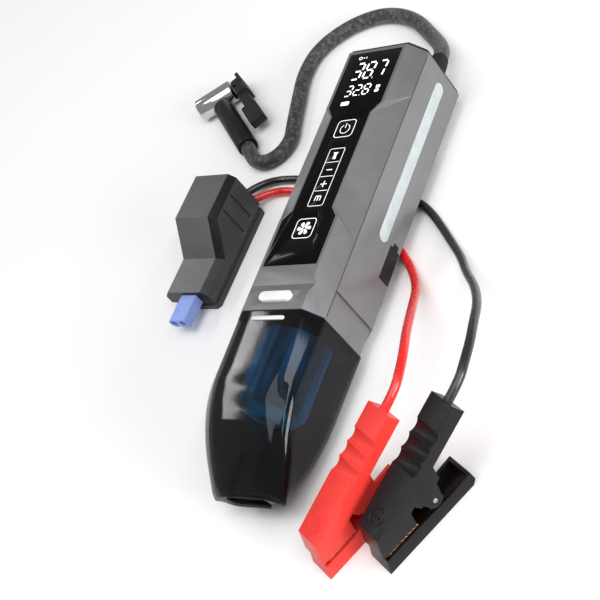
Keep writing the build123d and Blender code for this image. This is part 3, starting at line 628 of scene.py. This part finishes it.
def digit_lines(figure, x, y, wide, high):
    """A seven-segment figure that leans a little; (x, y) is its lower left corner."""
    gap, mid = 0.17 * wide, high / 2
    ends = {
        "a": ((gap, high), (wide - gap, high)), "g": ((gap, mid), (wide - gap, mid)),
        "d": ((gap, 0), (wide - gap, 0)), "b": ((wide, high - gap), (wide, mid + gap)),
        "c": ((wide, mid - gap), (wide, gap)), "f": ((0, high - gap), (0, mid + gap)),
        "e": ((0, mid - gap), (0, gap)),
    }
    lines = []
    for segment in SEGMENTS[figure]:
        lines.append([(x + px + 0.12 * py, y + py) for px, py in ends[segment]])
    return lines


def figure_row(figures, x, y, step, wide, high):
    """A row of figures; (x, y) is the first one's lower left corner."""
    lines = []
    for index, figure in enumerate(figures):
        lines += digit_lines(figure, x + step * index, y, wide, high)
    return lines


def show(name, lines, width):
    stroke_curve(name, lines, width, "digit", "main_unit")


def make_display():
    show("display_big_figures", figure_row("387", -0.0125, 0.1305, 0.0092, 0.0062, 0.0135), 0.0013)
    show("display_small_figures", figure_row("328", -0.0125, 0.1162, 0.0070, 0.0046, 0.0085), 0.0009)
    points = [[(0.0050, 0.1302), (0.0053, 0.1302)], [(0.0001, 0.1160), (0.0003, 0.1160)]]
    show("display_points", points, 0.0014)
    blocks = [(-0.0088, 0.1098, 0.0062, 0.0030, 0.0005)]
    blocks += [(0.0132, 0.1180 + 0.0034 * k, 0.0030, 0.0022, 0.0004) for k in range(2)]
    shapes = [rounded_outline(*block)[:-1] for block in blocks]
    filled_marks("display_icons", shapes, "digit", "main_unit")
    lamp = [arc(-0.0110, 0.1490, 0.0011, 0, tau), [(-0.0092, 0.1490), (-0.0074, 0.1490)],
            [(-0.0062, 0.1482), (-0.0062, 0.1498)]]
    show("display_lamp_sign", lamp, 0.0004)


def key_centre(name):
    low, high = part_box(name)
    return (low.x + high.x) / 2, (low.y + high.y) / 2


# Widths of the printed strokes in metres
OUTLINE_WIDE, SIGN_WIDE, FINE_WIDE = 0.0006, 0.0008, 0.0005
KEY_CORNER = 0.0026
PLUS_HALF, MINUS_HALF = 0.0024, 0.0022
# One blade of the fan sign: radius in metres and angle, round its outline
BLADE_OUTLINE = [(0.0009, 0.0), (0.0025, -0.20), (0.0042, -0.26), (0.0052, -0.12), (0.0050, 0.26),
                 (0.0038, 0.44), (0.0022, 0.52), (0.0009, 0.75)]
BLADES = 6
# The column of small keys: its outline's width and corner, and its ends past the keys
COLUMN_WIDE, COLUMN_CORNER, COLUMN_PAST = 0.0118, 0.0014, 0.0008


def mark_key(name, lines, width, key):
    stroke_curve(name, lines, width, "print", key)


def make_key_marks():
    x, y = key_centre("key_power")
    ring = arc(x, y - 0.0003, 0.0036, pi / 2 + 0.55, pi / 2 + tau - 0.55)
    outline = rounded_outline(x, y, 0.0142, 0.0137, KEY_CORNER)
    mark_key("power_mark", [outline, ring, [(x, y + 0.0004), (x, y + 0.0044)]], OUTLINE_WIDE, "key_power")
    x, y = key_centre("key_fan")
    outline = rounded_outline(x, y, 0.0147, 0.0147, KEY_CORNER)
    mark_key("fan_outline", [outline], OUTLINE_WIDE, "key_fan")
    blades = []
    for k in range(BLADES):
        turn = k * tau / BLADES
        blades.append([(x + r * cos(turn + bend), y + r * sin(turn + bend)) for r, bend in BLADE_OUTLINE])
    filled_marks("fan_mark", blades, "print", "key_fan")
    x, y = key_centre("key_plus")
    plus = [[(x - PLUS_HALF, y), (x + PLUS_HALF, y)], [(x, y - PLUS_HALF), (x, y + PLUS_HALF)]]
    mark_key("plus_mark", plus, SIGN_WIDE, "key_plus")
    x, y = key_centre("key_minus")
    mark_key("minus_mark", [[(x - MINUS_HALF, y), (x + MINUS_HALF, y)]], SIGN_WIDE, "key_minus")
    x, y = key_centre("key_light")
    torch = [(x - 0.0012, y - 0.0028), (x + 0.0012, y - 0.0028), (x + 0.0010, y + 0.0008),
             (x + 0.0019, y + 0.0026), (x - 0.0019, y + 0.0026), (x - 0.0010, y + 0.0008)]
    filled_marks("light_mark", [torch], "print", "key_light")
    x, y = key_centre("key_mode")
    bars = [[(x + dx, y - 0.0018), (x + dx, y + 0.0014)] for dx in (-0.002, 0.0, 0.002)]
    bars.append([(x - 0.002, y + 0.0018), (x + 0.002, y + 0.0018)])
    mark_key("mode_mark", bars, SIGN_WIDE, "key_mode")
    low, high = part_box("key_mode")[0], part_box("key_light")[1]
    x, y = (low.x + high.x) / 2, (low.y + high.y) / 2
    outline = rounded_outline(x, y, COLUMN_WIDE, high.y - low.y + COLUMN_PAST, COLUMN_CORNER)
    mark_key("column_outline", [outline], FINE_WIDE, "main_unit")
    for name in ("key_plus", "key_minus", "key_light"):
        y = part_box(name)[0].y + 0.0002
        line = [(x - COLUMN_WIDE / 2 + 0.001, y), (x + COLUMN_WIDE / 2 - 0.001, y)]
        mark_key(name + "_divider", [line], FINE_WIDE, name)


# ---------------------------------------------------------------- cords
def route_curve(name, points, radius):
    """A smooth round tube along a route."""
    curve = bpy.data.curves.new(name, "CURVE")
    curve.dimensions = "3D"
    curve.bevel_depth = radius
    curve.bevel_resolution = 6
    curve.use_fill_caps = True
    spline = curve.splines.new("NURBS")
    spline.points.add(len(points) - 1)
    for point, place in zip(spline.points, points):
        point.co = (*place, 1)
    spline.order_u = 3
    spline.use_endpoint_u = True
    spline.resolution_u = 16
    return add_object(name, curve)


def curve_line(obj):
    """The points of a curve's own line, with its thickness taken off."""
    thick = obj.data.bevel_depth
    obj.data.bevel_depth = 0
    bpy.context.view_layer.update()
    mesh = bpy.data.meshes.new_from_object(obj.evaluated_get(bpy.context.evaluated_depsgraph_get()))
    points = [v.co.copy() for v in mesh.vertices]
    obj.data.bevel_depth = thick
    return points


def line_length(points):
    return sum((b - a).length for a, b in zip(points, points[1:]))


def resample(points, spacing):
    """Evenly spaced points along a line, about the spacing apart."""
    total = line_length(points)
    count = int(total / spacing)
    wanted = [total * k / count for k in range(count + 1)]
    made, run, index = [], 0.0, 0
    steps = [(b - a).length for a, b in zip(points, points[1:])]
    for distance in wanted:
        while index < len(points) - 2 and run + steps[index] < distance:
            run += steps[index]
            index += 1
        share = min(1.0, (distance - run) / max(steps[index], 1e-9))
        made.append(points[index].lerp(points[index + 1], share))
    return made


def hose_line(spacing):
    """Evenly spaced points along the hose's route."""
    guide = route_curve("hose_guide", HOSE_ROUTE, HOSE_RADIUS)
    line = resample(curve_line(guide), spacing)
    bpy.data.objects.remove(guide)
    return line


def way_at(line, index):
    """The direction of a line at one of its points."""
    return (line[min(index + 1, len(line) - 1)] - line[max(index - 1, 0)]).normalized()


# A clamp's rear end: its height, its distance from the jaw tip, and its cable's last straight length
CLAMP_REAR_Z, CLAMP_LONG, LEAD_IN = 0.0497, 0.0843, 0.012
# The smart module's pieces, where both cables end; they are listed with the red one
MODULE_PIECES = ["lead_boot_soft", "module_top_soft", "ec5_plug_soft", "module_base_soft"]


def add_cable(colour, route):
    """A cable as a mesh tube, whose skin comes from the route's spline; the spline's middle line is also
    read off, but nothing uses it.
    """
    guide = route_curve(f"{colour}_cable_line_guide", route, CABLE_RADIUS)
    line = curve_line(guide)
    cable = add_object(f"{colour}_cable_line", bpy.data.meshes.new_from_object(guide))
    bpy.data.objects.remove(guide)
    cable.data.shade_smooth()
    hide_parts(f"{colour}_cable")
    finish_piece(cable, f"cable_{colour}", "main_unit")


def make_cables():
    for colour, route in (("red", RED_ROUTE), ("black", BLACK_ROUTE)):
        x, y, turn = CLAMPS[colour]
        ahead = Vector((cos(turn * DEGREE), sin(turn * DEGREE), 0))
        rear = Vector((x, y, CLAMP_REAR_Z)) + ahead * CLAMP_LONG
        rise = Vector((0, 0, LEAD_IN * sin(CLAMP_SLOPE)))
        lead_in = rear + ahead * LEAD_IN * cos(CLAMP_SLOPE) + rise
        names = [f"{colour}_{part}_soft" for part in SOFT_CLAMP] + [f"{colour}_mark_ring", f"{colour}_mark"]
        if colour == "red":
            names += MODULE_PIECES
        add_cable(colour, route + [tuple(lead_in), tuple(rear)])


# The hose's braid: strands each way, points around, and a turn's length, the spacing along, the
# radius and how proud a strand stands, in metres
STRANDS, AROUND = 9, 72
PITCH, BRAID_STEP, BRAID_RADIUS, STRAND_PROUD = 0.030, 0.00045, 0.0052, 0.00028
STRAND_DARK, STRAND_RANGE, STRAND_TINT = 0.015, 0.16, 1.03
# The gland: its length past the tail and into it, the spacing of its rings, its radius at the tail,
# how much that narrows, and the depth of its grooves
GLAND_LONG, GLAND_ROOT, GLAND_STEP = 0.013, 0.009, 0.0004
GLAND_RADIUS, GLAND_TAPER, GLAND_GROOVE, GLAND_AROUND = 0.0082, 0.0022, 0.0006, 40


def braid_at(angle, run):
    """How proud the upper strand stands, 0 to 1, and its tone, which differs from strand to strand and is
    darkened by painted shade towards the strand's edges.
    """
    first = STRANDS * (angle / tau + run / PITCH)
    second = STRANDS * (angle / tau - run / PITCH)
    over = int(first // 1 + second // 1) % 2 == 0
    crown = abs(sin(pi * (first if over else second))) ** 0.5
    # a fixed scatter, the same in every run
    fleck = sin(12.99 * (first // 1) + 78.23 * (second // 1)) * 437.58
    # painted shade: each strand's tone drops to a fifth at its edges, where it dips under its neighbours
    tone_and_shade = (STRAND_DARK + STRAND_RANGE * (fleck % 1.0) ** 1.5) * (0.2 + 0.8 * crown)
    return crown, tone_and_shade


def make_hose():
    """A braided sleeve: two sets of flat strands that pass over and under each other."""
    line = hose_line(BRAID_STEP)
    side = (line[1] - line[0]).cross(Vector((0, 0, 1))).normalized()
    verts, colours, run = [], [], 0.0
    for index, point in enumerate(line):
        ahead = way_at(line, index)
        side = (side - ahead * side.dot(ahead)).normalized()
        up = ahead.cross(side)
        if index:
            run += (point - line[index - 1]).length
        for k in range(AROUND):
            angle = tau * k / AROUND
            crown, tone_and_shade = braid_at(angle, run)
            out = side * cos(angle) + up * sin(angle)
            verts.append(point + out * (BRAID_RADIUS + STRAND_PROUD * crown))
            # the point's colour is its strand's tone together with the painted shade at the strand's edges
            colours.append((tone_and_shade, tone_and_shade, tone_and_shade * STRAND_TINT, 1.0))
    faces = ring_faces(len(line), AROUND) + end_faces(len(line), AROUND)
    hose = add_mesh("air_hose_braid", verts, faces)
    layer = hose.data.color_attributes.new("strand", "FLOAT_COLOR", "POINT")
    for item, colour in zip(layer.data, colours):
        item.color = colour
    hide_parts("air_hose")
    finish_piece(hose, "braid", "main_unit")


def make_hose_gland():
    """The tapered, ribbed strain relief where the hose leaves the tail."""
    line = [p for p in hose_line(GLAND_STEP) if (p - Vector(HOSE_ROUTE[0])).length < GLAND_LONG]
    back = Vector((0, -1, 0))
    inside = [line[0] + back * (GLAND_ROOT - GLAND_STEP * k) for k in range(int(GLAND_ROOT / GLAND_STEP))]
    line = inside + line
    verts = []
    for index, point in enumerate(line):
        ahead = way_at(line, index)
        side = ahead.cross(Vector((0, 0, 1))).normalized()
        up = ahead.cross(side)
        share = index / (len(line) - 1)
        groove = GLAND_GROOVE if share > 0.3 and index % 6 < 2 else 0.0
        radius = GLAND_RADIUS - GLAND_TAPER * share - groove
        for k in range(GLAND_AROUND):
            angle = tau * k / GLAND_AROUND
            verts.append(point + (side * cos(angle) + up * sin(angle)) * radius)
    faces = ring_faces(len(line), GLAND_AROUND) + end_faces(len(line), GLAND_AROUND)
    gland = add_mesh("hose_gland_taper", verts, faces)
    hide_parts("hose_gland")
    finish_piece(gland, "rubber", "main_unit")


# ---------------------------------------------------------------- trim
# The line between the shell's halves: its height and width, and how deep and how proud its strip is
SEAM_Z, SEAM_WIDE, SEAM_SINK, SEAM_PROUD = 0.0527, 0.0005, 0.0004, 0.00046
BOX_FACES = [(0, 1, 3, 2), (4, 6, 7, 5), (0, 4, 5, 1), (2, 3, 7, 6), (0, 2, 6, 4), (1, 5, 7, 3)]
# The clamps' raised signs: a ring, with a plus or a minus that reads across the arm
RING_RADIUS, SIGN_RADIUS = 0.0050, 0.00045
CLAMP_SIGNS = {
    "red": [[(-0.0027, 0), (0.0027, 0)], [(0, -0.0027), (0, 0.0027)]],
    "black": [[(0, -0.0030), (0, 0.0030)]],
}
DOT_WIDE, DOT_STEP = 0.0009, 0.0022


def make_shell_seams():
    """The dark line where the two halves of the shell meet, from the tail to the collar."""
    for name, side in (("seam_right", 1), ("seam_left", -1)):
        x = side * (HALF - SEAM_SINK)
        ends, edges = (SEAM_Y + 0.001, TAIL_Y - 0.004), (SEAM_Z, SEAM_Z + SEAM_WIDE)
        corners = [(x, y, z) for y in ends for z in edges]
        out = [(cx + side * SEAM_PROUD, cy, cz) for cx, cy, cz in corners]
        strip = add_mesh(name, corners + out, BOX_FACES, smooth=False)
        finish_piece(strip, "inner", "main_unit")


def make_clamp_marks():
    """Raised polarity signs on the clamps' upper arms."""
    for colour, (x, y, turn) in CLAMPS.items():
        place = Matrix.Translation((x, y, 0.024)) @ Matrix.Rotation(turn * DEGREE, 4, "Z")
        place = place @ Matrix.Rotation(-CLAMP_SLOPE, 4, "Y") @ Matrix.Translation((0.0150, 0, 0.0001))
        ring = [arc(0, 0, RING_RADIUS, 0, tau, 40)]
        for name, lines in (("mark_ring", ring), ("mark", CLAMP_SIGNS[colour])):
            obj = poly_curve(f"{colour}_{name}", lines, SIGN_RADIUS)
            obj.matrix_world = place
            bpy.context.view_layer.update()
            finish_piece(obj, f"clamp_{colour}", "main_unit")


def make_latch_dots():
    """Two rows of five grip dots on the latch button."""
    low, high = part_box("latch_button")
    for row, y in enumerate((-0.0012, 0.0012)):
        for k in range(5):
            dot = stadium(f"latch_dot_{row}_{k}", (k - 2) * DOT_STEP, (low.y + high.y) / 2 + y,
                          DOT_WIDE, DOT_WIDE, high.z - 0.0002, high.z + 0.00025)
            finish_piece(dot, "silver", "latch_button")


# ---------------------------------------------------------------- studio
def add_light(name, place, aim, size, radiance):
    """A rectangular lamp whose own brightness, not its power, is given."""
    light = bpy.data.lights.new(name, "AREA")
    light.shape = "RECTANGLE"
    light.size, light.size_y = size
    light.energy = radiance * size[0] * size[1] * pi
    obj = add_object(name, light)
    obj.location = place
    obj.rotation_euler = (Vector(aim) - Vector(place)).to_track_quat("-Z", "Y").to_euler()


# Lamps: name, place, aim, size in metres, brightness. The cup's strips and the edge strip are there
# for their reflections.
LAMPS = [
    ("overhead", (0.5, -0.5, 2.4), (0, 0, 0), (2.0, 2.0), 3.2),
    ("side", (1.5, -0.3, 0.45), (0, 0, 0.03), (0.9, 0.5), 15.0),
    ("cup_strip_a", (-1.268, 0.725, 1.27), (0, 0.725, 0.06), (0.14, 0.066), 13.0),
    ("cup_strip_b", (-1.175, 0.340, 1.27), (-0.023, 0.675, 0.06), (0.67, 0.066), 13.0),
    ("cup_strip_c", (-1.110, -0.243, 1.27), (0.082, -0.370, 0.06), (0.54, 0.066), 13.0),
    ("cup_strip_d", (-1.180, -0.600, 1.27), (-0.058, -1.026, 0.06), (0.20, 0.066), 13.0),
    ("edge_strip", (1.015, -0.14, 1.10), (0, -0.14, 0.05), (1.48, 0.10), 7.0),
]


FLOOR_WIDE, WORLD_LIGHT = 6, 0.36
# The camera: lens and sensor in millimetres, its place, and its own three directions
LENS, SENSOR = 89.83, 36.0
CAMERA_PLACE = (0.5676, -0.4464, 0.6242)
CAMERA_RIGHT = Vector((0.78206764, 0.33038976, -0.52840591))
CAMERA_DOWN = Vector((-0.03073694, -0.82641858, -0.56221666))
CAMERA_AHEAD = Vector((-0.62243509, 0.45593304, -0.63616006))


def make_studio():
    bpy.ops.mesh.primitive_plane_add(size=FLOOR_WIDE)
    floor = bpy.context.object
    floor.name = "floor"
    white = Material("floor_white").colour((0.90, 0.90, 0.90), (0.92, 0.92, 0.92), 2.0)
    floor.data.materials.append(white.roughness(0.6, 0.7, 8.0).made)
    world = bpy.data.worlds.new("studio")
    world.use_nodes = True
    background = world.node_tree.nodes["Background"]
    background.inputs["Color"].default_value = (1, 1, 1, 1)
    background.inputs["Strength"].default_value = WORLD_LIGHT
    bpy.context.scene.world = world
    for lamp in LAMPS:
        add_light(*lamp)
    bpy.context.scene.view_settings.view_transform = "Standard"


def make_camera():
    camera = bpy.data.cameras.new("camera")
    camera.lens = LENS
    camera.sensor_width = SENSOR
    obj = add_object("camera", camera)
    turn = Matrix((CAMERA_RIGHT, -CAMERA_DOWN, -CAMERA_AHEAD)).transposed().to_4x4()
    obj.matrix_world = Matrix.Translation(CAMERA_PLACE) @ turn
    bpy.context.scene.camera = obj


make_camera()
make_studio()
paint_nodes()
soften_nodes()
make_cup()
make_display()
make_key_marks()
make_clamp_marks()
make_latch_dots()
make_cables()
make_hose_gland()
make_hose()
make_shell_seams()

bpy.context.view_layer.update()
